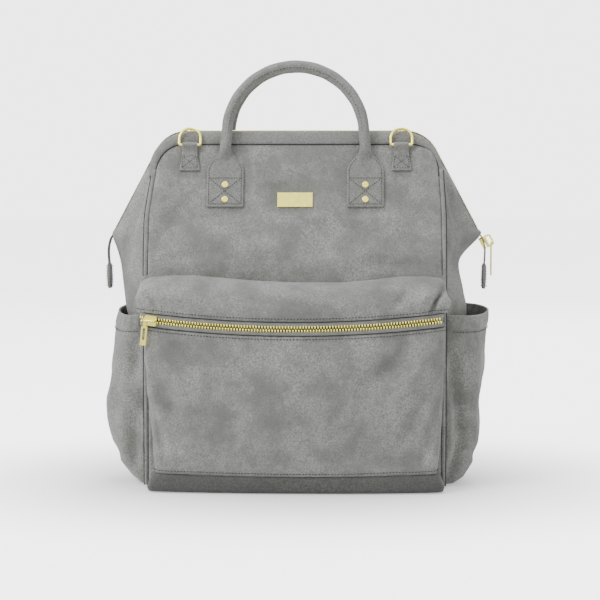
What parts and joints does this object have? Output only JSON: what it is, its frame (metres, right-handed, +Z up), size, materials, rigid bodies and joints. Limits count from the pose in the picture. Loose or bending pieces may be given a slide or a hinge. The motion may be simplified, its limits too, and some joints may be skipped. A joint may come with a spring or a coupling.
{
  "type": "diaper bag",
  "caption": "Soft faux-leather diaper backpack with a wire-frame zip mouth, rolled handles, D-rings, a zipped front pocket, side pockets and back straps.",
  "frame": {"origin": "middle of the body's base, on the floor", "axes": "+Z up, the front pocket faces -Y, +X to the right as seen from the front"},
  "size_m": [0.4295, 0.2109, 0.463],
  "materials": {
    "faux_leather": "matte, suede-like",
    "gold_hardware": "pale polished",
    "zip_tape": "woven",
    "lining_fabric": "woven",
    "steel_wire": "drawn",
    "foam": "soft",
    "board": "matte",
    "buckle_plastic": "moulded",
    "webbing": "woven"
  },
  "bodies": {
    "body": {"base_panel": "faux_leather", "base_board": "board", "lining": "lining_fabric", "front_panel_lower": "faux_leather", "back_panel_lower": "faux_leather", "front_piping_lower": "faux_leather", "back_piping_lower": "faux_leather", "gusset_left": "faux_leather", "gusset_right": "faux_leather", "side_pocket_left": "faux_leather", "side_pocket_right": "faux_leather", "front_pocket_lower": "faux_leather", "front_pocket_upper": "faux_leather", "pocket_zip_tapes": "zip_tape", "pocket_zip_teeth": "gold_hardware", "back_foam": "foam", "strap_yoke": "faux_leather", "strap_pad_left": "faux_leather", "strap_pad_right": "faux_leather", "strap_ladder_locks": "buckle_plastic", "strap_webbing": "webbing", "strap_anchors": "faux_leather"},
    "front_half": {"front_panel_upper": "faux_leather", "front_band": "faux_leather", "front_mouth_frame": "steel_wire", "front_piping_upper": "faux_leather", "front_wings": "faux_leather", "front_top_zip_tape": "zip_tape", "front_top_zip_teeth": "gold_hardware", "front_handle_patches": "faux_leather", "front_handle_rivets": "gold_hardware", "front_ring_tabs": "faux_leather", "name_plate": "gold_hardware"},
    "back_half": {"back_panel_upper": "faux_leather", "back_band": "faux_leather", "back_mouth_frame": "steel_wire", "back_piping_upper": "faux_leather", "back_wings": "faux_leather", "back_top_zip_tape": "zip_tape", "back_top_zip_teeth": "gold_hardware", "back_handle_patches": "faux_leather", "back_handle_rivets": "gold_hardware", "back_ring_tabs": "faux_leather"},
    "front_handle": {"front_handle": "faux_leather", "front_handle_core": "foam"},
    "front_ring_left": {"front_ring_left": "gold_hardware"},
    "front_ring_right": {"front_ring_right": "gold_hardware"},
    "back_handle": {"back_handle": "faux_leather", "back_handle_core": "foam"},
    "back_ring_left": {"back_ring_left": "gold_hardware"},
    "back_ring_right": {"back_ring_right": "gold_hardware"},
    "pocket_slider": {"pocket_zip_slider": "gold_hardware"},
    "pocket_pull": {"pocket_zip_pull": "gold_hardware"},
    "top_slider": {"top_zip_slider": "gold_hardware"},
    "top_pull": {"top_zip_pull": "gold_hardware"},
    "zip_tail_left": {"zip_tail_tape_left": "zip_tape", "zip_tail_tab_left": "faux_leather"},
    "zip_tail_right": {"zip_tail_tape_right": "zip_tape", "zip_tail_tab_right": "faux_leather"}
  },
  "joints": [
    {"name": "front_half_open", "type": "hinge", "parent": "body", "child": "front_half", "pos_m": [0, 0, 0.262], "axis": [1, 0, 0], "range_deg": [0, 35]},
    {"name": "back_half_open", "type": "hinge", "parent": "body", "child": "back_half", "pos_m": [0, 0, 0.262], "axis": [-1, 0, 0], "range_deg": [0, 35]},
    {"name": "pocket_slider_run", "type": "hinge", "parent": "body", "child": "pocket_slider", "pos_m": [0, 0.45837, 0.42907], "axis": [0, -0.4104, 0.9119], "range_deg": [0, 28.35]},
    {"name": "pocket_pull_swing", "type": "hinge", "parent": "pocket_slider", "child": "pocket_pull", "pos_m": [-0.1575, -0.09026, 0.18432], "axis": [-0.2233, -0.9747, 0.0114], "range_deg": [-60, 60]},
    {"name": "top_slider_run", "type": "slide", "parent": "body", "child": "top_slider", "axis": [-0.4695, 0, 0.8829], "range_m": [0, 0.092]},
    {"name": "top_pull_swing", "type": "hinge", "parent": "top_slider", "child": "top_pull", "pos_m": [0.21474, 0, 0.2642], "axis": [0, -1, 0], "range_deg": [0, 150]},
    {"name": "zip_tail_left_swing", "type": "hinge", "parent": "body", "child": "zip_tail_left", "pos_m": [-0.203, 0, 0.257], "axis": [0, -1, 0], "range_deg": [-25, 25]},
    {"name": "zip_tail_right_swing", "type": "hinge", "parent": "body", "child": "zip_tail_right", "pos_m": [0.203, 0, 0.257], "axis": [0, 1, 0], "range_deg": [-10, 25]},
    {"name": "front_handle_fold", "type": "hinge", "parent": "front_half", "child": "front_handle", "pos_m": [0, -0.02927, 0.37479], "axis": [1, 0, 0], "range_deg": [0, 110]},
    {"name": "front_ring_left_swing", "type": "hinge", "parent": "front_half", "child": "front_ring_left", "pos_m": [-0.115, -0.02663, 0.37091], "axis": [1, 0, 0], "range_deg": [-5, 150]},
    {"name": "front_ring_right_swing", "type": "hinge", "parent": "front_half", "child": "front_ring_right", "pos_m": [0.115, -0.02663, 0.37091], "axis": [1, 0, 0], "range_deg": [-5, 150]},
    {"name": "back_handle_fold", "type": "hinge", "parent": "back_half", "child": "back_handle", "pos_m": [0, 0.02927, 0.37479], "axis": [-1, 0, 0], "range_deg": [0, 110]},
    {"name": "back_ring_left_swing", "type": "hinge", "parent": "back_half", "child": "back_ring_left", "pos_m": [-0.115, 0.02663, 0.37091], "axis": [-1, 0, 0], "range_deg": [-5, 150]},
    {"name": "back_ring_right_swing", "type": "hinge", "parent": "back_half", "child": "back_ring_right", "pos_m": [0.115, 0.02663, 0.37091], "axis": [-1, 0, 0], "range_deg": [-5, 150]}
  ],
  "couplings": [
    {"joint": "top_slider_run", "follows": "top_pull_swing", "m_per_rad": 0.035141}
  ]
}
